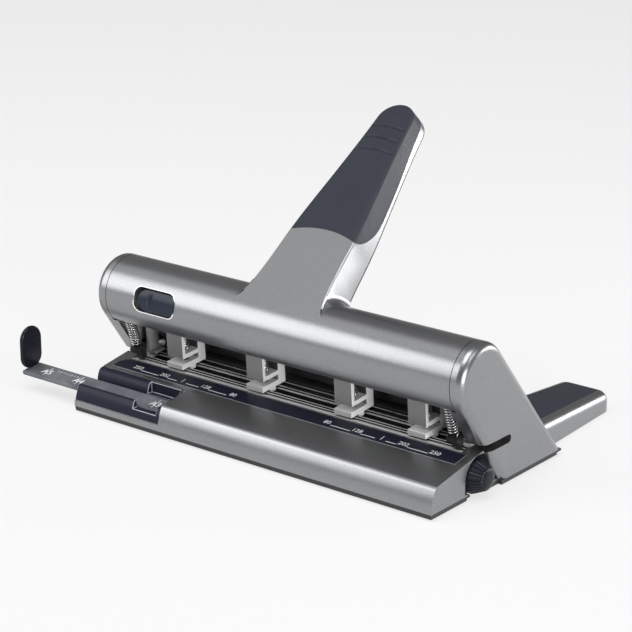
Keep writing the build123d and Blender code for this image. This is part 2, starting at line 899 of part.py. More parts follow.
def arm_solid(inset):
    """The handle as a block: a flat top on sides that lean outward, with a round tip."""
    depth = 8.0
    lean = tan(radians(handle_side_lean))
    top = cover_radius - inset
    wide = lean * (cover_radius + depth) - inset
    high = lean * inset - inset
    body = loft([arm_face(wide, -depth), arm_face(high, top)], ruled=True)
    if inset == 0:
        rim = [e for e in body.faces().sort_by(Axis.Z)[-1].edges() if e.center().Y > 1]
        body = fillet(rim, handle_edge_round)
    return arm_frame().location * body


def on_arm(x, s, p, shape):
    """Stands a shape drawn about +Z square on the handle."""
    y, z = arm_point(s, p)
    return Pos(x, y, z) * Rot(handle_slope, 0, 0) * shape


def grip_region(grow):
    """Where the grip covers the handle: behind an arc on top and above a curve at the sides."""
    curve = [(0, *arm_point(x + grow, p + grow)) for x, p in grip_side]
    over = [(0, *arm_point(190, 60)), (0, *arm_point(grip_side[0][0], 60))]
    side = make_face([Spline(*curve), Polyline(curve[-1], over[0], over[1], curve[0])])
    side = Pos(-60, 0, 0) * extrude(side, amount=120, dir=(1, 0, 0))
    middle = grip_top_edge + grow
    end = grip_side[1][0] + grow
    half_width = grip_half_width
    front = ThreePointArc((-half_width, end), (0, middle), (half_width, end))
    rest = Polyline((half_width, end), (60, end), (60, 200), (-60, 200), (-60, end), (-half_width, end))
    top = Pos(0, 0, -20) * extrude(make_face([front, rest]), amount=80, dir=(0, 0, 1))
    return side & (arm_frame().location * top)


def lever_block():
    """The cover's full round with the handle growing out of it."""
    handle = arm_solid(0) & arm_above(rim_height + 0.1)
    return rod(cover_radius, -cover_half, cover_half, pivot_y, pivot_z) + handle


def lock_window(x0, x1, grow):
    """A rounded window in the cover, drawn square to its skin."""
    across = cover_radius * sin(radians((lock_high - lock_low) / 2)) + grow
    block = Box(x1 - x0 + 2 * grow, 2 * across, 30)
    block = fillet(block.edges().filter_by(Axis.Z), lock_round + grow)
    middle = 180 - (lock_high + lock_low) / 2
    y, z = about_pivot(middle, 30)
    return Pos((x0 + x1) / 2, y, z) * Rot(middle - 90, 0, 0) * block


def lever_cover():
    """The half-round cover and the hollow handle arm in one casting."""
    body = lever_block()
    body -= (arm_solid(-1) - arm_solid(grip_thickness)) & grip_region(0)
    hollow = arm_solid(handle_wall)
    for s in handle_screw_places:
        hollow -= on_arm(0, s, 11, Cylinder(3.6, 40))
    hollow -= rod(cover_radius, -200, 200, pivot_y, pivot_z)
    body -= hollow
    for s in handle_screw_places:
        body -= on_arm(0, s, underside(s) + 5, Cylinder(screw_radius + running_fit, 14))
    body -= rod(inner_radius, -200, 200, pivot_y, pivot_z)
    open_side = sector(60, cover_front_angle, cover_rear_angle + 360, -200, 200)
    body -= open_side & rod(cover_radius + 1, -200, 200, pivot_y, pivot_z)
    return body - lock_window(lock_left, lock_right, 0)


def handle_underside():
    """The dark plate that closes the handle from below."""
    body = (arm_solid(0.3) & arm_above(0)) - arm_above(rim_height)
    body -= rod(cover_radius + 0.3, -200, 200, pivot_y, pivot_z)
    for s in handle_screw_places:
        body -= on_arm(0, s, 0, Cylinder(screw_radius + running_fit, 30))
    return body


def handle_screws():
    screws = []
    for s in handle_screw_places:
        seat = underside(s) - 0.2
        head = on_arm(0, s, seat - 0.6, Cylinder(screw_head_radius, 1.2))
        shank = on_arm(0, s, seat + 5, Cylinder(screw_radius, 10.2))
        screws += (head + shank).solids()
    return Compound(children=screws)


def grip_pad():
    """A soft skin over the handle's top and sides."""
    return (arm_solid(0) - arm_solid(grip_thickness - 0.1)) & grip_region(0.1)


def pivot_shaft():
    end = bush_far - seat_gap
    return rod(shaft_radius, -end, end, pivot_y, pivot_z)


def press_rod():
    y, z = about_pivot(crank_angle, crank_radius)
    end = rib_places[1] + 5
    return rod(rod_radius, -end, end, y, z)


def cover_ribs():
    """Webs inside the cover that hold the shaft and the press rod."""
    rod_y, rod_z = about_pivot(crank_angle, crank_radius)
    ribs = []
    for place_x in rib_places:
        for x in (-place_x, place_x):
            x0, x1 = x - rib_thickness / 2, x + rib_thickness / 2
            web = sector(inner_radius - 0.1, crank_angle, 214, x0, x1, steps=60)
            web -= rod(shaft_radius + running_fit, x0 - 1, x1 + 1, pivot_y, pivot_z)
            web -= rod(rod_radius + running_fit, x0 - 1, x1 + 1, rod_y, rod_z)
            ribs += web.solids()
    return Compound(children=ribs)


def spring_hooks():
    """Blocks beside the end ribs that carry the return springs' upper ends."""
    plane, length = spring_frame()
    body = plane.location * (Pos(0, 0, length + 1.6) * Box(8.2, 8.4, 3.0))
    return Compound(children=body.solids() + mirrored(body).solids())


def lock_slider():
    """A curved slide in the cover's window, with a ridge for the thumb."""
    x0, x1 = slider_left, lock_right - 0.3
    low, high = 180 - lock_high, 180 - lock_low
    face = rod(cover_radius - 0.1, x0, x1, pivot_y, pivot_z) & lock_window(x0, x1, -0.3)
    ridge = rod(cover_radius + 1.2, x0 + 14, x0 + 17.5, pivot_y, pivot_z)
    ridge &= lock_window(x0, x1, -3.0)
    flange = rod(inner_radius - seat_gap, x0 - 2, x1 + 2, pivot_y, pivot_z)
    flange &= sector(60, low - 4, high + 4, x0 - 2, x1 + 2)
    body = face + ridge
    body &= sector(60, low - 4, high + 4, x0 - 2, x1 + 2)
    hollow = rod(inner_radius - seat_gap - slider_wall, -200, 0, pivot_y, pivot_z)
    return body + flange - hollow


# ------------------------------------------------------------------ press bar and units
def press_bar():
    """The bar under the press rod that pushes every pin head down together."""
    low = pin_head_top + press_gap
    high = low + bar_rise
    mid = low + bar_thickness
    outline = [
        (bar_front, low), (bar_back, low), (bar_back, high),
        (bar_step, high), (bar_step, mid), (bar_front, mid),
    ]
    end = rib_places[1] + 3
    body = tilted(outline, -end, end)
    reach = guide_near + 3.9
    return body + tilted_box(-reach, reach, bar_tongue[0], bar_tongue[1], low, high)


def unit_frame(x):
    """A punch unit: a die below, an open throat, and a tower that guides the pin."""
    x0, x1 = x - unit_width / 2, x + unit_width / 2
    deck = tower_base + tower_floor
    body = tilted_box(x0, x1, 0, die_depth, 0, die_thickness)
    body += tilted_box(x0, x1, throat_depth, die_depth, 0, tower_top)
    body += tilted_box(x0, x1, tower_front, die_depth, tower_base, deck)
    body += tilted_box(x0, x1, tower_front, tower_front + front_plate, tower_base, tower_top)
    body += tilted_box(x0, x1, tower_front, die_depth, tower_top - 2.5, tower_top)
    half_boss = chip_slot / 2 - side_gap
    body += tilted_box(x0, x1, pin_offset - half_boss, pin_offset + half_boss, -2.6, 1)
    body -= pin_cylinder(x, pin_head_radius + side_gap, deck + 5, tower_top + 5)
    body -= pin_cylinder(x, pin_radius + running_fit, 6, deck + 1)
    body -= pin_cylinder(x, pin_radius + running_fit + 0.02, -4, die_thickness + 1)
    return body


def unit_pin(x):
    body = pin_cylinder(x, pin_radius, pin_tip, pin_head_top - 1)
    return body + pin_cylinder(x, pin_head_radius, pin_head_top - pin_head_thickness, pin_head_top)


def unit_spring(x, name):
    deck = tower_base + tower_floor
    length = pin_head_top - pin_head_thickness - deck - 0.1
    coil = wound_spring(unit_spring_radius, unit_spring_wire, unit_spring_turns, length, name)
    return along_pin(Pos(x, pin_offset, deck + 0.05) * coil)


def unit_clip(x):
    """The pressed clip behind a unit, with a pointed finger to one side."""
    outline = [
        (x - 6.0, 0, 12.5), (x + 7.0, 0, 12.5), (x + 7.4, 0, 14.2), (x + 13.2, 0, 21.6),
        (x + 7.0, 0, 22.4), (x - 6.0, 0, 22.4),
    ]
    face = make_face(Polyline(*outline, close=True))
    return along_pin(Pos(0, die_depth + 0.1, 0) * extrude(face, amount=1.2, dir=(0, 1, 0)))


# ------------------------------------------------------------------ guide bar and depth stop
def guide_bar():
    return prism(bar_outline(0), bar_left, bar_right)


def stop_paddle():
    """The upright at the guide bar's end that the sheet's edge is pushed against."""
    def foot_z(y):
        return bar_back_z + 0.1 + (y - bar_back_y) * slope

    outline = [
        (paddle_low, foot_z(paddle_low)), (paddle_high, foot_z(paddle_high)),
        (paddle_high, paddle_top), (paddle_low, paddle_top),
    ]
    body = prism(outline, paddle_face - paddle_thickness, paddle_face)
    edges = body.edges().filter_by(Axis.X)
    body = fillet([e for e in edges if e.center().Z > paddle_top - 1], 8.2)
    edges = body.edges().filter_by(Axis.X)
    return fillet([e for e in edges if e.center().Z < foot_z(paddle_high) + 0.2], 5.0)


def depth_knob():
    length = knob_far - knob_near
    collar = rod(5.2, half - notch_depth + side_gap, knob_near + 1, knob_y, knob_z)
    turned = Rot(0, 90, 0)
    middle = (knob_near + knob_far) / 2
    body = Pos(middle, knob_y, knob_z) * turned * Cone(knob_radius, knob_end_radius, length)
    cap_x = knob_far + knob_dome / 2
    body += Pos(cap_x, knob_y, knob_z) * turned * Cone(knob_end_radius, 3.6, knob_dome)
    body += collar
    return body - rod(knob_shaft_radius + running_fit, 130, shaft_end + 0.3, knob_y, knob_z)


def gear_tooth(middle, tip, root, width):
    """Half widths of a tooth at its root, pitch and tip."""
    return [(middle - width * 0.78, root), (middle - width * 0.3, tip),
            (middle + width * 0.3, tip), (middle + width * 0.78, root)]


def stop_shaft():
    """The rod that carries the knob at one end and the two pinions."""
    return rod(knob_shaft_radius, -land_inner + 0.2, shaft_end, knob_y, knob_z)


def pinions():
    """Two toothed wheels pressed on the knob's rod."""
    root = gear_radius - 1.05
    tip = gear_radius + 0.7
    half_tooth = gear_pitch * 0.21
    wheels = []
    for side in (-1, 1):
        x0, x1 = side * gear_near, side * (gear_near + gear_width)
        wheel = rod(root + 0.1, x0, x1, knob_y, knob_z)
        for i in range(gear_teeth):
            turn = 2 * pi * i / gear_teeth + pi / 2
            points = []
            for across, out in gear_tooth(0.0, tip, root - 0.3, half_tooth):
                y = knob_y + out * cos(turn) - across * sin(turn)
                z = knob_z + out * sin(turn) + across * cos(turn)
                points.append((y, z))
            wheel += prism(points, x0, x1)
        wheel -= rod(knob_shaft_radius + running_fit, x0 - 5, x1 + 5, knob_y, knob_z)
        wheels += wheel.solids()
    return Compound(children=wheels)


def stop_racks():
    """Toothed strips under the stop's arms that the pinions drive."""
    pitch_z = knob_z + gear_radius
    root, tip = pitch_z + 1.0, pitch_z - 0.7
    half_tooth = gear_pitch * 0.21
    racks = []
    for side in (-1, 1):
        x0, x1 = side * gear_near, side * (gear_near + gear_width)
        rack = box(x0, x1, rack_front, rack_back, root, rack_top)
        count = int((rack_reach + stop_travel) / gear_pitch)
        for i in range(-count, count):
            middle = knob_y + (i + 0.5) * gear_pitch
            rack += prism(gear_tooth(middle, tip, root + 0.1, half_tooth), x0, x1)
        racks += rack.solids()
    return Compound(children=racks)


def depth_stop():
    """The bar behind the table that a stack is pushed against, on two arms."""
    low = table_top + seat_gap
    end = gear_near + gear_width
    body = box(-end, end, stop_front, stop_front + stop_depth, low, low + stop_height)
    for side in (-1, 1):
        x0, x1 = side * gear_near, side * end
        body += box(x0, x1, stop_front, stop_front + stop_depth, rack_top + 0.1, low + 1)
    return body


os.makedirs("parts", exist_ok=True)
save("chip_tray", chip_tray())
save("tray_hinge_pins", tray_hinge_pins())
save("base_plate", base_plate())
save("rubber_feet", rubber_feet())
save("base_casing", base_casing())
save("scale_strip", scale_strip())
save("guide_holder", guide_holder())
save("die_rail", die_rail())
save("table_plate", table_plate())
save("rear_cover", rear_cover())
save("pivot_bushes", pivot_bushes())
save("spring_anchors", spring_anchors())
save("foot_screws", foot_screws())
for side, word in ((-1, "left"), (1, "right")):
    save(f"{word}_cheek", cheek(side))
    save(f"{word}_side_frame", side_frame(side))
    save(f"{word}_press_guide", press_guide(side))
    save(f"{word}_rear_foot", rear_foot(side))
    save(f"{word}_foot_pad", foot_pad(side))
    save(f"{word}_return_spring", return_spring(side))
save("lever_cover", lever_cover())
save("handle_underside", handle_underside())
save("handle_screws", handle_screws())
save("grip_pad", grip_pad())
save("pivot_shaft", pivot_shaft())
save("press_rod", press_rod())
save("cover_ribs", cover_ribs())
save("spring_hooks", spring_hooks())
save("lock_slider", lock_slider())
save("press_bar", press_bar())
for number, x in enumerate(unit_centres, 1):
    save(f"unit_{number}_frame", unit_frame(x))
    save(f"unit_{number}_pin", unit_pin(x))
    save(f"unit_{number}_spring", unit_spring(x, f"unit {number} spring"))
    save(f"unit_{number}_clip", unit_clip(x))
save("guide_bar", guide_bar())
save("stop_paddle", stop_paddle())
save("depth_knob", depth_knob())
save("stop_shaft", stop_shaft())
save("pinions", pinions())
save("stop_racks", stop_racks())
save("depth_stop", depth_stop())
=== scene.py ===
import json
import math

import bmesh
import bpy
from mathutils import Matrix, Vector


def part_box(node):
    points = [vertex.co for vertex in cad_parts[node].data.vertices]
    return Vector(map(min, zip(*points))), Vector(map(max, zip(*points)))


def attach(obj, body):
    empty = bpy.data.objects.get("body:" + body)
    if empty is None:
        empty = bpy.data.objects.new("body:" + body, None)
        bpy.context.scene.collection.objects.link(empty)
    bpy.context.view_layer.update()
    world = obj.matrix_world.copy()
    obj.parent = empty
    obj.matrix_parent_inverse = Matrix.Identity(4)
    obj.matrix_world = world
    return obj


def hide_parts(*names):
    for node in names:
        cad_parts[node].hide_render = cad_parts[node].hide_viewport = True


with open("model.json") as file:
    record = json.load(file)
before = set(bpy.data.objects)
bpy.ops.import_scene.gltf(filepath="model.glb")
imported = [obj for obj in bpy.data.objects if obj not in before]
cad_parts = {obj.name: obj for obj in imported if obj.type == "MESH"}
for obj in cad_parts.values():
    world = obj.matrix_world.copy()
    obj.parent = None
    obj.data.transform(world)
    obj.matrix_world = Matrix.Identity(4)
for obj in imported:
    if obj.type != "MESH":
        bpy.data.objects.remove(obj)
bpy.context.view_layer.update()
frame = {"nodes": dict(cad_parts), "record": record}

nodes = frame["nodes"]
slotOf = {part["node"]: part["material_slot"] for part in frame["record"]["subparts"]}
bodyOf = {}
for bodyName, bodyNodes in frame["record"]["behaviour"]["bodies"].items():
    for nodeName in bodyNodes:
        bodyOf[nodeName] = bodyName

# outlines are in millimetres, Y from the front edge of the base
mm = 0.001
frontEdge = 71.5
pivot = {"y": 51.0, "z": 77.2, "slope": 38.8, "radius": 24.1}


def at(x, y, z):
    return Vector((x * mm, (y - frontEdge) * mm, z * mm))


def onHandle(x, along, above):
    turn = math.radians(pivot["slope"])
    y = pivot["y"] + along * math.cos(turn) - above * math.sin(turn)
    z = pivot["z"] + along * math.sin(turn) + above * math.cos(turn)
    return at(x, y, z)


def handlePlace(point):
    """The other way round: a scene point as across, along and above the handle."""
    turn = math.radians(pivot["slope"])
    y = point.y / mm + frontEdge - pivot["y"]
    z = point.z / mm - pivot["z"]
    return point.x / mm, y * math.cos(turn) + z * math.sin(turn), z * math.cos(turn) - y * math.sin(turn)


# ---- materials

def startMaterial(name):
    mat = bpy.data.materials.new(name)
    mat.use_nodes = True
    tree = mat.node_tree
    tree.nodes.clear()
    out = tree.nodes.new("ShaderNodeOutputMaterial")
    shader = tree.nodes.new("ShaderNodeBsdfPrincipled")
    tree.links.new(shader.outputs["BSDF"], out.inputs["Surface"])
    coords = tree.nodes.new("ShaderNodeTexCoord")
    return mat, tree, shader, coords.outputs["Object"]


def addNoise(tree, coords, scale, detail=3.0, stretch=(1, 1, 1)):
    mapping = tree.nodes.new("ShaderNodeMapping")
    mapping.inputs["Scale"].default_value = stretch
    tree.links.new(coords, mapping.inputs["Vector"])
    cloud = tree.nodes.new("ShaderNodeTexNoise")
    cloud.inputs["Scale"].default_value = scale
    cloud.inputs["Detail"].default_value = detail
    cloud.inputs["Roughness"].default_value = 0.55
    tree.links.new(mapping.outputs["Vector"], cloud.inputs["Vector"])
    return cloud.outputs["Fac"]


def addRange(tree, value, low, high):
    node = tree.nodes.new("ShaderNodeMapRange")
    node.inputs["From Min"].default_value = 0.3
    node.inputs["From Max"].default_value = 0.7
    node.inputs["To Min"].default_value = low
    node.inputs["To Max"].default_value = high
    tree.links.new(value, node.inputs["Value"])
    return node.outputs["Result"]


def addBlend(tree, value, first, second, fromLow=0.35, fromHigh=0.65):
    ramp = tree.nodes.new("ShaderNodeValToRGB")
    ramp.color_ramp.elements[0].position = fromLow
    ramp.color_ramp.elements[0].color = (*first, 1)
    ramp.color_ramp.elements[1].position = fromHigh
    ramp.color_ramp.elements[1].color = (*second, 1)
    tree.links.new(value, ramp.inputs["Fac"])
    return ramp.outputs["Color"]


def addProduct(tree, first, second):
    mix = tree.nodes.new("ShaderNodeMix")
    mix.data_type = "RGBA"
    mix.blend_type = "MULTIPLY"
    mix.inputs["Factor"].default_value = 1.0
    tree.links.new(first, mix.inputs["A"])
    tree.links.new(second, mix.inputs["B"])
    return mix.outputs["Result"]


def addCornerShade(tree, reach, depth):
    """Painted shade: a factor that darkens a metal part's colour in its corners, where little light reaches.
    """
    hollow = tree.nodes.new("ShaderNodeAmbientOcclusion")
    hollow.samples = 8
    hollow.inputs["Distance"].default_value = reach * mm
    return addBlend(tree, hollow.outputs["AO"], (depth,) * 3, (1, 1, 1), fromLow=0.15, fromHigh=0.8)


def addBump(tree, shader, height, strength):
    bump = tree.nodes.new("ShaderNodeBump")
    bump.inputs["Strength"].default_value = strength
    bump.inputs["Distance"].default_value = 0.00004
    tree.links.new(height, bump.inputs["Height"])
    tree.links.new(bump.outputs["Normal"], shader.inputs["Normal"])


def makeSurface(name, spec):
    """One finish: two close tones in fine grain, a slow drift of tone, roughness and bump."""
    mat, tree, shader, coords = startMaterial(name)
    grain = addNoise(tree, coords, spec["grain"], 2.0, spec.get("stretch", (1, 1, 1)))
    drift = addNoise(tree, coords, spec.get("drift", 14))
    tones = addBlend(tree, grain, spec["dark"], spec["light"])
    worn = addBlend(tree, drift, (spec.get("driftDark", 0.9),) * 3, (1, 1, 1))
    colour = addProduct(tree, tones, worn)
    # painted shade in the corners, where a finish asks for it
    if "cornerShade" in spec:
        colour = addProduct(tree, colour, addCornerShade(tree, *spec["cornerShade"]))
    tree.links.new(colour, shader.inputs["Base Color"])
    tree.links.new(addRange(tree, drift, *spec["rough"]), shader.inputs["Roughness"])
    shader.inputs["Metallic"].default_value = spec.get("metal", 0.0)
    shader.inputs["IOR"].default_value = spec.get("ior", 1.47)
    shader.inputs["Coat Weight"].default_value = spec.get("coat", 0.0)
    shader.inputs["Coat Roughness"].default_value = spec.get("coatRough", 0.1)
    shader.inputs["Sheen Weight"].default_value = spec.get("sheen", 0.0)
    addBump(tree, shader, grain, spec.get("bump", 0.0))
    return mat


# a finish's corner entry, a reach in mm and the darkest share, paints shade into its colour in the corners
finishes = {
    "silver_paint": {
        "dark": (0.27, 0.274, 0.282), "light": (0.32, 0.324, 0.332), "grain": 1500, "rough": (0.28, 0.31),
        "metal": 0.92, "driftDark": 0.97},
    "bright_steel": {
        "dark": (0.68, 0.68, 0.67), "light": (0.8, 0.8, 0.79), "grain": 900, "rough": (0.2, 0.28),
        "metal": 0.8, "bump": 0.04, "stretch": (0.15, 1, 1)},
    # zinc: painted shade darkens its corners almost to black, inside the units
    "zinc_plate": {
        "dark": (0.5, 0.5, 0.495), "light": (0.54, 0.54, 0.535), "grain": 700, "rough": (0.34, 0.4),
        "metal": 0.2, "driftDark": 0.96, "drift": 40, "cornerShade": (12, 0.03)},
    # near-white painted highlight for the edges, faces and rims that catch the light, with painted shade in
    # its corners
    "painted_highlight": {
        "dark": (0.93, 0.93, 0.92), "light": (0.97, 0.97, 0.96), "grain": 900, "rough": (0.3, 0.4),
        "cornerShade": (3, 0.05)},
    "black_sheet": {
        "dark": (0.024, 0.025, 0.027), "light": (0.032, 0.033, 0.036), "grain": 1800, "rough": (0.36, 0.46),
        "bump": 0.06},
    "black_plastic": {
        "dark": (0.006, 0.007, 0.012), "light": (0.010, 0.012, 0.020), "grain": 1500, "rough": (0.24, 0.32),
        "ior": 1.28, "coat": 0.06, "coatRough": 0.12},
    "blue_plastic": {
        "dark": (0.012, 0.017, 0.030), "light": (0.018, 0.026, 0.044), "grain": 1500, "rough": (0.22, 0.3),
        "ior": 1.32},
    "navy_plastic": {
        "dark": (0.010, 0.011, 0.022), "light": (0.016, 0.018, 0.034), "grain": 1500, "rough": (0.3, 0.36),
        "ior": 1.24},
    "bar_plastic": {
        "dark": (0.14, 0.152, 0.172), "light": (0.19, 0.205, 0.23), "grain": 900, "rough": (0.3, 0.42),
        "driftDark": 0.6, "drift": 45},
    # painted shade: a darker copy of the zinc for the units' front plates, darker still where the cover lies
    # close above
    "shaded_plate": {
        "dark": (0.2, 0.2, 0.2), "light": (0.23, 0.23, 0.23), "grain": 700, "rough": (0.3, 0.36),
        "metal": 0.5, "cornerShade": (26, 0.05)},
    # lighter grey painted highlight for the rounded edges of dark plastic pieces
    "edge_highlight": {
        "dark": (0.3, 0.31, 0.34), "light": (0.36, 0.37, 0.4), "grain": 1500, "rough": (0.25, 0.32),
        "bump": 0.02},
    "matt_plastic": {
        "dark": (0.012, 0.014, 0.020), "light": (0.020, 0.023, 0.032), "grain": 3000, "rough": (0.42, 0.52),
        "bump": 0.14},
    "soft_black": {
        "dark": (0.014, 0.017, 0.026), "light": (0.024, 0.029, 0.044), "grain": 2400, "rough": (0.40, 0.50),
        "bump": 0.1, "ior": 1.36, "sheen": 0.03},
    "bronze": {
        "dark": (0.42, 0.29, 0.14), "light": (0.58, 0.42, 0.2), "grain": 800, "rough": (0.28, 0.4),
        "metal": 1.0, "bump": 0.05},
    "spring_steel": {
        "dark": (0.5, 0.5, 0.5), "light": (0.68, 0.68, 0.68), "grain": 1200, "rough": (0.18, 0.26),
        "metal": 1.0, "bump": 0.04},
    # dark steel: painted shade in its corners
    "dark_steel": {
        "dark": (0.022, 0.022, 0.023), "light": (0.034, 0.034, 0.036), "grain": 700, "rough": (0.34, 0.42),
        "metal": 0.3, "bump": 0.04, "cornerShade": (12, 0.2)},
    "white_print": {
        "dark": (0.8, 0.8, 0.82), "light": (0.9, 0.9, 0.92), "grain": 2600, "rough": (0.5, 0.6),
        "bump": 0.03},
}
materials = {name: makeSurface(name, spec) for name, spec in finishes.items()}
print("materials made:", len(materials))


# ---- mesh helpers

madeGap = 1e-7      # points of a made mesh closer than this are one
nodeGap = 2e-6      # the same for a node's mesh
flatTurn = 0.6      # degrees below which two faces of a node are one
madeSmooth = 50     # degrees up to which an edge is shaded smooth
nodeSmooth = 34
facing = 0.9        # least part of a normal along an axis for a face that looks that way


def addObject(name, data):
    obj = bpy.data.objects.new(name, data)
    bpy.context.scene.collection.objects.link(obj)
    return obj


def newPiece(name, points, faces, body, slot, smooth, replaces=()):
    mesh = bpy.data.meshes.new(name)
    mesh.from_pydata([tuple(p) for p in points], [], faces)
    work = bmesh.new()
    work.from_mesh(mesh)
    bmesh.ops.remove_doubles(work, verts=work.verts, dist=madeGap)
    bmesh.ops.recalc_face_normals(work, faces=work.faces)
    work.to_mesh(mesh)
    work.free()
    dressPiece(name, mesh, body, slot, smooth, replaces)


def dressPiece(name, mesh, body, slot, smooth, replaces=()):
    mesh.shade_smooth()
    mesh.set_sharp_from_angle(angle=math.radians(smooth))
    piece = addObject(name, mesh)
    mesh.materials.append(materials[slot])
    if replaces:
        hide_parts(*replaces)
    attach(piece, body)
    return piece


def addRounding(piece, width, segments, angle=35):
    rounding = piece.modifiers.new("rounded edges", "BEVEL")
    rounding.width = width * mm
    rounding.segments = segments
    rounding.limit_method = "ANGLE"
    rounding.angle_limit = math.radians(angle)
    rounding.harden_normals = True
    rounding.use_clamp_overlap = True
    return rounding


def cleanCopy(node):
    """A node's mesh with its split corners joined and its flat faces whole."""
    mesh = nodes[node].data.copy()
    mesh.name = node + "_shape"
    work = bmesh.new()
    work.from_mesh(mesh)
    bmesh.ops.remove_doubles(work, verts=work.verts, dist=nodeGap)
    bmesh.ops.dissolve_limit(work, angle_limit=math.radians(flatTurn), verts=work.verts, edges=work.edges,
                             use_dissolve_boundaries=False)
    bmesh.ops.recalc_face_normals(work, faces=work.faces)
    work.to_mesh(mesh)
    work.free()
    mesh.materials.clear()
    if mesh.has_custom_normals:
        mesh.attributes.remove(mesh.attributes["custom_normal"])
    return mesh


def roundedNode(node, width, segments):
    mesh = cleanCopy(node)
    finish = finishOf.get(node, slotOf[node])
    piece = dressPiece(node + "_formed", mesh, bodyOf[node], finish, nodeSmooth, (node,))
    rounding = addRounding(piece, width, segments)
    # painted highlight: the rounding takes the lighter material listed for the node
    if node in highlightedEdges:
        mesh.materials.append(materials[highlightedEdges[node]])
        rounding.material = 1
    return piece


def ringFaces(rings, steps, closed=False):
    """Faces between rings of points, with an end cap on each side unless the last ring meets the first."""
    faces = []
    for ring in range(rings if closed else rings - 1):
        low, high = ring * steps, (ring + 1) % rings * steps
        for i in range(steps):
            j = (i + 1) % steps
            faces.append((low + i, low + j, high + j, high + i))
    if not closed:
        faces.append(tuple(range(steps)))
        faces.append(tuple((rings - 1) * steps + i for i in reversed(range(steps))))
    return faces


def turnedShape(profile, steps, centre, ripple):
    """Points and faces of a profile of (x, radius) turned about an axis along X."""
    points = []
    for x, radius in profile:
        for i in range(steps):
            turn = 2 * math.pi * i / steps
            here = radius * ripple(x, turn)
            points.append(at(x, centre[0] + here * math.cos(turn), centre[1] + here * math.sin(turn)))
    return points, ringFaces(len(profile), steps)


def closedSheet(name, columns, rows, place, body, slot, replaces=()):
    """A skin with an upper and an under side; place takes shares across and along and the side."""
    points = []
    faces = []
    wide = columns + 1
    layer = wide * (rows + 1)
    for upper in (True, False):
        for row in range(rows + 1):
            points += [place(2 * column / columns - 1, row / rows, upper) for column in range(wide)]
    for row in range(rows):
        for column in range(columns):
            a = row * wide + column
            faces.append((a, a + 1, a + wide + 1, a + wide))
            faces.append((layer + a, layer + a + wide, layer + a + wide + 1, layer + a + 1))
    rim = list(range(wide))
    rim += [row * wide + columns for row in range(1, rows + 1)]
    rim += [rows * wide + column for column in reversed(range(columns))]
    rim += [row * wide for row in reversed(range(1, rows))]
    for a, b in zip(rim, rim[1:] + rim[:1]):
        faces.append((a, b, layer + b, layer + a))
    newPiece(name, points, faces, body, slot, madeSmooth, replaces)


# ---- boxed and pressed pieces get their rounded edges

edgeWidths = {
    "base_casing": (0.7, 3), "base_plate": (0.35, 2), "rear_cover": (0.4, 2), "scale_strip": (0.25, 2),
    "guide_holder": (0.45, 3), "die_rail": (0.3, 2), "table_plate": (0.3, 2), "left_side_frame": (0.25, 1),
    "right_side_frame": (0.25, 1), "left_press_guide": (0.25, 1), "right_press_guide": (0.25, 1),
    "press_bar": (0.3, 2), "guide_bar": (0.4, 2), "depth_stop": (0.4, 2),
    "chip_tray": (0.4, 2), "handle_underside": (0.3, 2), "cover_ribs": (0.25, 1), "rubber_feet": (0.8, 4),
}
finishOf = {"guide_bar": "bar_plastic", "guide_holder": "navy_plastic", "die_rail": "dark_steel",
            "scale_strip": "navy_plastic", "press_rod": "dark_steel", "spring_anchors": "dark_steel"}
# edges seen with a thin bright line of light along them: their rounding takes a lighter material as painted
# highlight
highlightedEdges = {"guide_holder": "edge_highlight", "scale_strip": "edge_highlight"}
for unit in range(1, 5):
    edgeWidths[f"unit_{unit}_frame"] = (0.3, 2)
    edgeWidths[f"unit_{unit}_clip"] = (0.15, 1)
    highlightedEdges[f"unit_{unit}_frame"] = "painted_highlight"
    highlightedEdges[f"unit_{unit}_clip"] = "painted_highlight"

swell = {
    "low": 4.4,
    "high": 19.6,
    "depth": 0.95,
    "rows": 14,
    "middle": 4.0,       # the front face's middle lies in front of this
    "reach": 4.8,        # and its points in front of this
}
# half the rail's length, a rib's greatest width, and the least share of that rib's area
rib = {"half": 139.3, "width": 2.0, "least": 0.1}
unitFront = 120          # square millimetres that only a unit's front plate has


def swellFront(mesh):
    """The casing's front face is slightly convex between its foot and its nose."""
    rise = swell["high"] - swell["low"]
    work = bmesh.new()
    work.from_mesh(mesh)
    for row in range(1, swell["rows"]):
        z = swell["low"] + rise * row / swell["rows"]
        near = [face for face in work.faces
                if face.normal.y < -facing and face.calc_center_median().y < at(0, swell["middle"], 0).y]
        edges = {edge for face in near for edge in face.edges}
        verts = {vert for face in near for vert in face.verts}
        bmesh.ops.bisect_plane(work, geom=list(verts) + list(edges) + near, plane_co=at(0, 0, z),
                               plane_no=(0, 0, 1), dist=madeGap)
    for vert in work.verts:
        t = (vert.co.z / mm - swell["low"]) / rise
        if (vert.co.y < at(0, swell["reach"], 0).y and 0 < t < 1
                and all(face.normal.z > -facing for face in vert.link_faces)):
            vert.co.y -= swell["depth"] * mm * 4 * t * (1 - t)
    work.to_mesh(mesh)
    work.free()


def highlightRibs(mesh):
    """Painted highlight: the upward faces of the lip and the narrow ribs of the rail take the near-white
    material, for the thin lines of light they catch.
    """
    mesh.materials.append(materials["painted_highlight"])
    widest = rib["width"] * mm * 2 * rib["half"] * mm
    for face in mesh.polygons:
        if face.normal.z > facing and rib["least"] * widest < face.area < widest:
            face.material_index = 1


def paintUnit(mesh):
    """Painted light: faces looking sideways or up take the near-white painted highlight, and the large front
    plate takes the darker shaded plate with deep painted shade under the cover.
    """
    mesh.materials.append(materials["shaded_plate"])
    for face in mesh.polygons:
        if abs(face.normal.x) > facing or face.normal.z > facing:
            face.material_index = 1
        elif face.normal.y < -facing and face.area > unitFront * mm * mm:
            face.material_index = 2


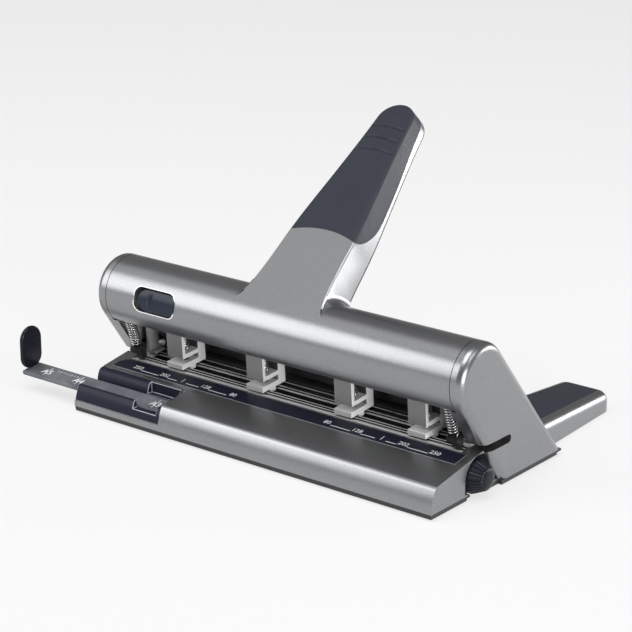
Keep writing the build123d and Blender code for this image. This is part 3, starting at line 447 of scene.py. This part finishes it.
formed = {node: roundedNode(node, *edge) for node, edge in edgeWidths.items()}
for unit in range(1, 5):
    paintUnit(formed[f"unit_{unit}_frame"].data)
swellFront(formed["base_casing"].data)
highlightRibs(formed["die_rail"].data)
print("rounded pieces:", len(formed))


# ---- cover: its round and its flat top are shaded as true surfaces

coverFit = {
    "off": 0.04,         # mm that a point may lie off the true surface
    "round": 0.94,       # least part of a face's normal along the true one
    "flat": 0.995,
}


def coverShape():
    mesh = cleanCopy("lever_cover")
    dressPiece("lever_cover_formed", mesh, "lever", "silver_paint", nodeSmooth, ("lever_cover",))
    middle = onHandle(0, 0, 0)
    top = (onHandle(0, 0, 1) - middle).normalized()
    normals = [corner.vector.copy() for corner in mesh.corner_normals]
    for face in mesh.polygons:
        for index in face.loop_indices:
            across, along, above = handlePlace(mesh.vertices[mesh.loops[index].vertex_index].co)
            spoke = onHandle(0, along, above) - middle
            outward = spoke.normalized()
            onRound = abs(spoke.length / mm - pivot["radius"]) < coverFit["off"]
            onFlat = along > 0 and abs(above - pivot["radius"]) < coverFit["off"]
            if onRound and face.normal.dot(outward) > coverFit["round"]:
                normals[index] = outward
            elif onFlat and face.normal.dot(top) > coverFit["flat"]:
                normals[index] = top
    mesh.normals_split_custom_set(normals)


coverShape()


# ---- soft blend where the handle leaves the cover

blendSpec = {
    "plan": ((0.0, 38.0), (5.0, 34.4), (10.0, 32.3), (17.0, 30.7), (28.0, 29.2), (44.0, 27.8), (61.0, 26.7)),
    "lean": 6.4,
    "radius": 7.0,
    "first": 6.0,        # degrees round the cover from the handle's top face
    "last": 88.0,
    "rows": 60,
    "arc": 14,
    "sunk": 0.03,
    "steepest": 0.02,
    "behind": 1.05,      # radii from the arc's centre to the strip's hidden edge
}
rootSkin = {
    "down": 75.0,        # degrees of the cover's round in front of the handle
    "up": 40.0,          # of the handle's flat top
    "spread": 34.0,      # wider than the handle on the cover
    "flare": 0.03,       # share of the rows in front of the handle in which it widens
    "proud": 0.025,
    "deep": 0.9,
    "rows": 60,
    "columns": 24,
    "edge": 1.15,
    "bend": 0.6,         # share of the rows in front of the handle
    "over": 0.4,
}


def handleHalf(along):
    plan = blendSpec["plan"]
    steps = [(w1 - w0) / (s1 - s0) for (s0, w0), (s1, w1) in zip(plan, plan[1:])]
    for i, ((s0, w0), (s1, w1)) in enumerate(zip(plan, plan[1:])):
        if along <= s1:
            run = s1 - s0
            t = (along - s0) / run
            enter = (steps[max(i - 1, 0)] + steps[i]) / 2 * run
            leave = (steps[i] + steps[min(i + 1, len(steps) - 1)]) / 2 * run
            rise = w1 - w0
            square, cube = 3 * rise - 2 * enter - leave, enter + leave - 2 * rise
            return w0 + t * enter + t * t * square + t ** 3 * cube
    return plan[-1][1]


def rootPlace(across, share, upper):
    """One smooth skin over the cover's round and the handle's flat top."""
    radius = pivot["radius"] + (rootSkin["proud"] if upper else -rootSkin["deep"])
    bend = rootSkin["bend"]
    if share < bend:
        turn = math.radians(rootSkin["down"]) * (share / bend - 1)
        wider = rootSkin["spread"] * min(1.0, (1 - share / bend) / rootSkin["flare"])
        half = handleHalf(0.0) + rootSkin["over"] + wider
        return onHandle(half * across, radius * math.sin(turn), radius * math.cos(turn))
    run = rootSkin["up"] * (share - bend) / (1 - bend)
    return onHandle((handleHalf(run) - rootSkin["edge"]) * across, run, radius)


closedSheet("root_skin", rootSkin["columns"], rootSkin["rows"], rootPlace, "lever", "silver_paint")


# ---- grip on the handle

grip = {
    "grooves": (134.0, 144.0, 154.0),   # along the handle
    "middle": -1.0,                     # of a groove, across the handle
    "reach": 14.5,                      # half length of a groove
    "fade": 0.12,                       # share of it in which a groove runs out
    "bow": 1.7,
    "width": 1.1,
    "depth": 0.95,
    "skin": 0.02,                       # mm below the top that still is the top
    "cutsAlong": (130.0, 0.45, 65),     # first, step and count
    "cutsAcross": (-16.0, 1.3, 25),
    "edge": 0.55,
    "edgeSteps": 3,
    "sharp": 50,                        # degrees
    "smooth": 38,
}


def grooveDepth(across, along):
    reach = abs(across - grip["middle"]) / grip["reach"]
    if reach >= 1:
        return 0.0
    fade = min(1.0, (1 - reach) / grip["fade"])
    bow = grip["bow"] * (1 - reach * reach)
    deepest = 0.0
    for place in grip["grooves"]:
        gap = (along - place - bow) / grip["width"]
        if abs(gap) < 1:
            deepest = max(deepest, 0.5 + 0.5 * math.cos(math.pi * gap))
    return grip["depth"] * fade * deepest


def gripMesh():
    mesh = cleanCopy("grip_pad")
    work = bmesh.new()
    work.from_mesh(mesh)
    along = (onHandle(0, 1, 0) - onHandle(0, 0, 0)).normalized()
    first, step, count = grip["cutsAlong"]
    cuts = [(onHandle(0, first + step * i, 0), along) for i in range(count)]
    first, step, count = grip["cutsAcross"]
    cuts += [(onHandle(first + step * i, 0, 0), Vector((1, 0, 0))) for i in range(count)]
    for place, normal in cuts:
        whole = work.verts[:] + work.edges[:] + work.faces[:]
        bmesh.ops.bisect_plane(work, geom=whole, plane_co=place, plane_no=normal, dist=madeGap)
    for vert in work.verts:
        across, run, above = handlePlace(vert.co)
        if above > pivot["radius"] - grip["skin"]:
            vert.co = onHandle(across, run, above - grooveDepth(across, run))
    work.to_mesh(mesh)
    work.free()
    return mesh


gripPiece = dressPiece("grip_skin", gripMesh(), "lever", "soft_black", grip["smooth"], ("grip_pad",))
addRounding(gripPiece, grip["edge"], grip["edgeSteps"], grip["sharp"])
print("grip made")


# ---- strips that round the crease beside the handle

def blendStrip(name, side):
    lean = math.tan(math.radians(blendSpec["lean"]))
    big = pivot["radius"]
    rows, arc = blendSpec["rows"], blendSpec["arc"]
    points = []
    for row in range(rows + 1):
        turn = math.radians(blendSpec["first"] + (blendSpec["last"] - blendSpec["first"]) * row / rows)
        limit = big * (1 - math.cos(turn)) / max(math.cos(turn) - lean, blendSpec["steepest"])
        radius = min(blendSpec["radius"], limit)
        along = (big + radius) * math.sin(turn)
        above = (big + radius) * math.cos(turn)
        slope = handleHalf(along + 0.5) - handleHalf(along - 0.5)
        wallOut = Vector((1.0, -slope, lean)).normalized()
        across = handleHalf(along) + lean * (big - above) + radius / wallOut.x
        centre = Vector((across, along, above))
        start = -wallOut
        end = -Vector((0.0, math.sin(turn), math.cos(turn)))
        gap = start.angle(end)
        for i in range(arc + 1):
            t = i / arc
            direction = (start * math.sin((1 - t) * gap) + end * math.sin(t * gap)) / math.sin(gap)
            reach = radius + blendSpec["sunk"] if i in (0, arc) else radius
            spot = centre + direction * reach
            points.append(onHandle(side * spot.x, spot.y, spot.z))
        hidden = centre + (start + end) * radius * blendSpec["behind"]
        points.append(onHandle(side * hidden.x, hidden.y, hidden.z))
    newPiece(name, points, ringFaces(rows + 1, arc + 2), "lever", "silver_paint", madeSmooth)


blendStrip("left_root_blend", -1)
blendStrip("right_root_blend", 1)
print("handle root blended")


# ---- depth knob

knob = {
    "centre": (51.0, 13.4),
    "profile": ((141.95, 4.0), (141.95, 5.2), (146.6, 5.2), (146.6, 11.2), (146.9, 11.8), (147.5, 12.0),
                (148.6, 11.6), (150.6, 10.7), (152.6, 9.75), (154.6, 8.8), (156.2, 8.05), (157.2, 7.4),
                (157.7, 6.5), (158.2, 5.0), (158.5, 3.3), (158.6, 0.4)),
    "ribs": 26,
    "ribSteps": 12,
    "ribbed": (147.2, 157.9),
    "fadeIn": (147.0, 1.2),      # where a rib starts, and the length in which it grows
    "fadeOut": (158.2, 0.8),
    "depth": 0.05,
    "narrow": 0.7,
    "smooth": 45,
}


def knobRipple(x, turn):
    first, last = knob["ribbed"]
    if x < first or x > last:
        return 1.0
    start, grow = knob["fadeIn"]
    end, shrink = knob["fadeOut"]
    fade = min(1.0, (x - start) / grow, (end - x) / shrink)
    wave = 0.5 + 0.5 * math.cos(knob["ribs"] * turn)
    return 1.0 - knob["depth"] * fade * (1 - wave) ** knob["narrow"]


knobSteps = knob["ribs"] * knob["ribSteps"]
knobPoints, knobFaces = turnedShape(knob["profile"], knobSteps, knob["centre"], knobRipple)
newPiece("depth_knob_ribbed", knobPoints, knobFaces, "knob", "black_plastic", knob["smooth"], ("depth_knob",))


# ---- paddle at the guide bar's end

paddleLow, paddleHigh = (Vector(corner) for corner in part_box("stop_paddle"))
paddle = {
    "wider": 2.6,        # toward the front, beyond the plain plate
    "steps": 96,
    "corner": 8.4,       # at the foot
    "edge": 1.5,
    "rings": 6,
    "slim": 1.6,         # half its height over half its width
}


def paddleOutline():
    """An upright oval with a full round above and softer corners at its foot."""
    rear = paddleHigh.y / mm + frontEdge
    front = paddleLow.y / mm + frontEdge - paddle["wider"]
    half = (rear - front) / 2
    middle = (rear + front) / 2
    top = paddleHigh.z / mm
    low = paddleLow.z / mm
    outline = []
    for i in range(paddle["steps"]):
        turn = 2 * math.pi * i / paddle["steps"]
        across, up = math.cos(turn), math.sin(turn)
        radius = half if up >= 0 else paddle["corner"]
        centre = top - half if up >= 0 else low + paddle["corner"]
        y = middle + math.copysign(half - radius, across) + radius * across
        outline.append((y, centre + radius * up))
    return outline, middle, (top + low) / 2, half


def paddleShape():
    outline, middleY, middleZ, half = paddleOutline()
    depth = (paddleHigh.x - paddleLow.x) / mm
    edge = paddle["edge"]
    turns = [math.pi / 2 * i / paddle["rings"] for i in range(paddle["rings"] + 1)]
    levels = [(edge * (1 - math.cos(turn)), depth - edge + edge * math.sin(turn)) for turn in turns]
    levels = [(inset, depth - height) for inset, height in reversed(levels)] + levels
    points = []
    for inset, height in levels:
        narrow = 1 - inset / half
        low = 1 - inset / (half * paddle["slim"])
        for y, z in outline:
            points.append(at(paddleLow.x / mm + height, middleY + (y - middleY) * narrow,
                             middleZ + (z - middleZ) * low))
    newPiece("stop_paddle_oval", points, ringFaces(len(levels), paddle["steps"]), bodyOf["stop_paddle"],
             "black_plastic", madeSmooth, ("stop_paddle",))


paddleShape()


# ---- lock slide with its crescent grip

lockLow, lockHigh = (Vector(corner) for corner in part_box("lock_slider"))
lock = {
    "left": lockLow.x / mm,
    "right": lockHigh.x / mm,
    "low": -7.6,          # degrees up from the cover's front
    "high": 30.6,
    "corner": 7.2,
    "spare": 0.2,        # the least straight run between two corners
    "outer": 24.25,
    "inner": 21.9,
    "soft": 0.9,         # drop of the face in the last millimetre
    "ridge": 0.8,
    "ridgeAt": -0.4,     # share of the slide's half length
    "ridgeWidth": 1.2,
    "ridgeBow": 2.4,
    "ridgeEnd": 0.8,     # share of the slide's half height
    "ridgeFade": 0.35,
}
window = {
    "left": -117.4,
    "right": -82.0,
    "half": 8.62,
    "corner": 5.7,
    "rim": 0.7,
    "bevel": 0.1,
    "proud": 0.12,
    "foot": 24.0,        # the rim's foot, from the cover's axis
    "steps": 96,
}


def lockPlace(x, run, radius):
    turn = math.radians((lock["low"] + lock["high"]) / 2) + run / pivot["radius"]
    return at(x, pivot["y"] - radius * math.cos(turn), pivot["z"] + radius * math.sin(turn))


def slidePlace(u, share, upper):
    """The slide's face, soft at its edge, with a bowed ridge in its left half."""
    halfX = (lock["right"] - lock["left"]) / 2
    halfRun = math.radians(lock["high"] - lock["low"]) * pivot["radius"] / 2
    corner = min(lock["corner"], halfRun - lock["spare"])
    x = halfX * math.sin(math.pi / 2 * u)
    over = max(0.0, abs(x) - halfX + corner)
    height = halfRun - corner + math.sqrt(max(0.0, corner * corner - over * over))
    v = 2 * share - 1
    run = v * height
    middle = (lock["right"] + lock["left"]) / 2
    if not upper:
        return lockPlace(middle + x, run, lock["inner"])
    inward = min(height * (1 - abs(v)), halfX - abs(x), 1.0)
    drop = lock["soft"] * (1 - math.sqrt(max(0.0, 1 - (1 - inward) ** 2)))
    bow = (x - halfX * lock["ridgeAt"] - lock["ridgeBow"] * (run / halfRun) ** 2) / lock["ridgeWidth"]
    fade = max(0.0, min(1.0, (lock["ridgeEnd"] - abs(run) / halfRun) / lock["ridgeFade"]))
    return lockPlace(middle + x, run, lock["outer"] - drop + lock["ridge"] * math.exp(-bow * bow) * fade)


def windowRim():
    """A thin lip round the window that the slide runs in, near-white as a painted highlight for the light its
    edge catches.
    """
    halfX = (window["right"] - window["left"]) / 2
    middle = (window["right"] + window["left"]) / 2
    corner = window["corner"]
    steps = window["steps"]
    crest = pivot["radius"] + window["proud"]
    rings = ((0, window["foot"]), (0, crest), (window["rim"], crest),
             (window["rim"] + window["bevel"], window["foot"]))
    points = []
    for grow, radius in rings:
        for i in range(steps):
            turn = 2 * math.pi * (i + 0.5) / steps
            across = math.copysign(halfX - corner, math.cos(turn)) + (corner + grow) * math.cos(turn)
            run = math.copysign(window["half"] - corner, math.sin(turn)) + (corner + grow) * math.sin(turn)
            points.append(lockPlace(middle + across, run, radius))
    faces = ringFaces(len(rings), steps, closed=True)
    newPiece("lock_window_rim", points, faces, "lever", "painted_highlight", madeSmooth)


windowRim()
closedSheet("lock_slide_grip", 72, 30, slidePlace, "lock", "blue_plastic", ("lock_slider",))
print("knob and lock made")


# ---- pads on the rear feet

padEdge = (0.6, 3)
for node in ("left_foot_pad", "right_foot_pad"):
    roundedNode(node, *padEdge)


# ---- printed marks on the strip and the guide bar

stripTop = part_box("scale_strip")[1][2]
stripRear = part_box("scale_strip")[1][1]
tiltUp = math.radians(9.4)
slope = math.tan(tiltUp)
marks = {
    "row": 38.9,
    "numbers": ((40.0, "80"), (64.25, "128"), (101.0, "202"), (125.3, "250")),
    "ticks": (84.2,),
    "tickRows": (36.6, 41.2),
    "height": 3.9,
    "fontScale": 1.38,   # font size to a figure's height
    "lineRow": 36.6,
    "lineWidth": 0.5,
    "gap": 4.2,          # between a number and its line
    "lift": 0.02,
    "proud": 0.05,
    "sunk": 0.05,
    "smooth": 30,
}
barMarks = {
    "names": {"A5": -190.0, "A4": -160.0, "A3": -88.0},
    "rear": (23.0, 17.1),        # Y and Z of the bar's upper rear edge
    "row": 8.4,
    "height": 5.6,
    "lift": 0.05,
    "lineRows": (12.6, 2.4),
    "lineWidth": 0.5,
    "ticks": 9,
    "firstTick": -183.0,
    "tickStep": 2.6,
    "tickRows": (3.0, 5.2),
    "tickWidth": 0.3,
}


def stripPoint(x, y, lift):
    place = at(x, y, 0)
    place.z = stripTop - (stripRear - place.y) * slope + lift * mm
    return place


def markBox(name, columns, rows, body, surface):
    """A thin printed bar on a surface, between two columns and two rows."""
    (x0, x1), (y0, y1) = columns, rows
    points = []
    for lift in (-marks["sunk"], marks["proud"]):
        points += [surface(x0, y0, lift), surface(x1, y0, lift), surface(x1, y1, lift), surface(x0, y1, lift)]
    faces = [(0, 1, 2, 3), (4, 5, 6, 7), (0, 1, 5, 4), (1, 2, 6, 5), (2, 3, 7, 6), (3, 0, 4, 7)]
    newPiece(name, points, faces, body, "white_print", marks["smooth"])


def printedText(name, text, height, place, body):
    curve = bpy.data.curves.new(name, "FONT")
    curve.body = text
    curve.size = height * mm * marks["fontScale"]
    curve.align_x = "CENTER"
    curve.align_y = "CENTER"
    curve.extrude = 0.00004
    curve.resolution_u = 3
    flat = addObject(name + "_curve", curve)
    bpy.context.view_layer.update()
    mesh = bpy.data.meshes.new_from_object(flat)
    bpy.data.objects.remove(flat)
    mesh.transform(Matrix.Translation(place) @ Matrix.Rotation(tiltUp, 4, "X"))
    mesh.name = name
    mesh.materials.clear()
    piece = addObject(name, mesh)
    mesh.materials.append(materials["white_print"])
    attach(piece, body)


def barPoint(x, back, lift):
    """A point on the guide bar's top, by distance forward of its upper rear edge."""
    y, z = barMarks["rear"]
    return at(x, y - back, z - back * slope + lift)


for side, tag in ((-1, "left"), (1, "right")):
    for x, text in marks["numbers"]:
        place = stripPoint(side * x, marks["row"], marks["lift"])
        printedText(f"scale_{tag}_{text}", text, marks["height"], place, "base")
    half = marks["lineWidth"] / 2
    for x in marks["ticks"]:
        columns = (side * x - half, side * x + half)
        markBox(f"scale_tick_{tag}", columns, marks["tickRows"], "base", stripPoint)
    stops = [x for x, text in marks["numbers"]] + list(marks["ticks"])
    places = sorted(side * x for x in stops)
    rows = (marks["lineRow"] - half, marks["lineRow"] + half)
    for i, (x0, x1) in enumerate(zip(places, places[1:])):
        markBox(f"scale_line_{tag}_{i}", (x0 + marks["gap"], x1 - marks["gap"]), rows, "base", stripPoint)

half = barMarks["lineWidth"] / 2
for text, x in barMarks["names"].items():
    place = barPoint(x, barMarks["row"], barMarks["lift"])
    printedText(f"guide_{text}", text, barMarks["height"], place, "guide")
    markBox(f"guide_line_{text}", (x - half, x + half), barMarks["lineRows"], "guide", barPoint)
half = barMarks["tickWidth"] / 2
for step in range(barMarks["ticks"]):
    x = barMarks["firstTick"] + barMarks["tickStep"] * step
    markBox(f"guide_tick_{step}", (x - half, x + half), barMarks["tickRows"], "guide", barPoint)
print("marks printed")


# ---- carried-over nodes take their finish

for name, node in nodes.items():
    node.data.materials.clear()
    node.data.materials.append(materials[finishOf.get(name, slotOf[name])])


# ---- floor, light and camera

studio = {
    "floor": 0.7,
    "floorDrift": 0.01,
    "floorHalf": 40.0,
    "seenFloor": 0.7,    # how far the floor is seen as plain white
    "world": 0.2,
    "lamps": (
        # name, place, aim, width, height, watts
        ("key", (-1.25, -1.27, 0.95), (0, 0, 0.06), 1.2, 1.3, 17),
        ("top", (0.1, -0.6, 2.4), (0, 0, 0.0), 1.7, 1.7, 40),
        ("left top", (-1.2, -0.25, 1.65), (0, 0, 0.1), 1.0, 0.9, 2.0),
        ("right front", (1.55, -0.75, 0.3), (0, 0, 0.05), 0.7, 0.4, 17),
        ("right", (1.5, 0.15, 1.5), (0, 0, 0.05), 1.0, 0.8, 6),
        ("beside", (0.5, 0.62, 0.17), (0.15, 0, 0.08), 0.35, 0.12, 1.2),
        ("back right", (1.15, 1.85, 0.3), (0, 0, 0.05), 1.6, 0.6, 8),
    ),
}


def addSeen(tree):
    """1 for camera, glossy and transmission rays."""
    path = tree.nodes.new("ShaderNodeLightPath")
    seen = path.outputs["Is Camera Ray"]
    for name in ("Is Glossy Ray", "Is Transmission Ray"):
        either = tree.nodes.new("ShaderNodeMath")
        either.operation = "MAXIMUM"
        tree.links.new(seen, either.inputs[0])
        tree.links.new(path.outputs[name], either.inputs[1])
        seen = either.outputs["Value"]
    return seen


def addFloor():
    mesh = bpy.data.meshes.new("floor")
    half = studio["floorHalf"]
    corners = [(-half, -half, 0), (half, -half, 0), (half, half, 0), (-half, half, 0)]
    mesh.from_pydata(corners, [], [(0, 1, 2, 3)])
    floor = addObject("floor", mesh)
    mat, tree, shader, coords = startMaterial("floor_paper")
    drift = addNoise(tree, coords, 3.0)
    low = studio["floor"] - studio["floorDrift"]
    tree.links.new(addBlend(tree, drift, (low,) * 3, (studio["floor"],) * 3), shader.inputs["Base Color"])
    shader.inputs["Roughness"].default_value = 0.9
    shader.inputs["Specular IOR Level"].default_value = 0.1
    glow = tree.nodes.new("ShaderNodeEmission")
    glow.inputs["Strength"].default_value = 1.0
    mix = tree.nodes.new("ShaderNodeMixShader")
    share = tree.nodes.new("ShaderNodeMath")
    share.operation = "MULTIPLY"
    share.inputs[1].default_value = studio["seenFloor"]
    tree.links.new(addSeen(tree), share.inputs[0])
    tree.links.new(share.outputs["Value"], mix.inputs["Fac"])
    tree.links.new(shader.outputs["BSDF"], mix.inputs[1])
    tree.links.new(glow.outputs["Emission"], mix.inputs[2])
    out = next(node for node in tree.nodes if node.type == "OUTPUT_MATERIAL")
    tree.links.new(mix.outputs["Shader"], out.inputs["Surface"])
    mesh.materials.append(mat)


def addWorld():
    world = bpy.data.worlds.new("studio")
    bpy.context.scene.world = world
    world.use_nodes = True
    tree = world.node_tree
    tree.nodes.clear()
    out = tree.nodes.new("ShaderNodeOutputWorld")
    fill = tree.nodes.new("ShaderNodeBackground")
    fill.inputs["Color"].default_value = (1, 1, 1, 1)
    fill.inputs["Strength"].default_value = studio["world"]
    tree.links.new(fill.outputs["Background"], out.inputs["Surface"])


def addLamps():
    for name, place, aim, width, height, watts in studio["lamps"]:
        lamp = bpy.data.lights.new(name, "AREA")
        lamp.shape = "RECTANGLE"
        lamp.size = width
        lamp.size_y = height
        lamp.energy = watts
        obj = addObject(name, lamp)
        obj.location = place
        obj.rotation_euler = (Vector(aim) - Vector(place)).to_track_quat("-Z", "Y").to_euler()


view = {
    "place": (0.862403, -1.079939, 0.547165),
    "elevation": 18.609,
    "azimuth": 38.458,
    "lens": 126.14,
    "sensor": 36,
    "nearest": 0.01,
}


def addCamera():
    camera = bpy.data.cameras.new("camera")
    camera.sensor_width = view["sensor"]
    camera.lens = view["lens"]
    camera.clip_start = view["nearest"]
    obj = addObject("camera", camera)
    obj.location = view["place"]
    obj.rotation_euler = (math.radians(90 - view["elevation"]), 0, math.radians(view["azimuth"]))
    bpy.context.scene.camera = obj


addFloor()
addWorld()
addLamps()
addCamera()
bpy.context.scene.view_settings.view_transform = "Standard"
print("studio set")

bpy.context.view_layer.update()
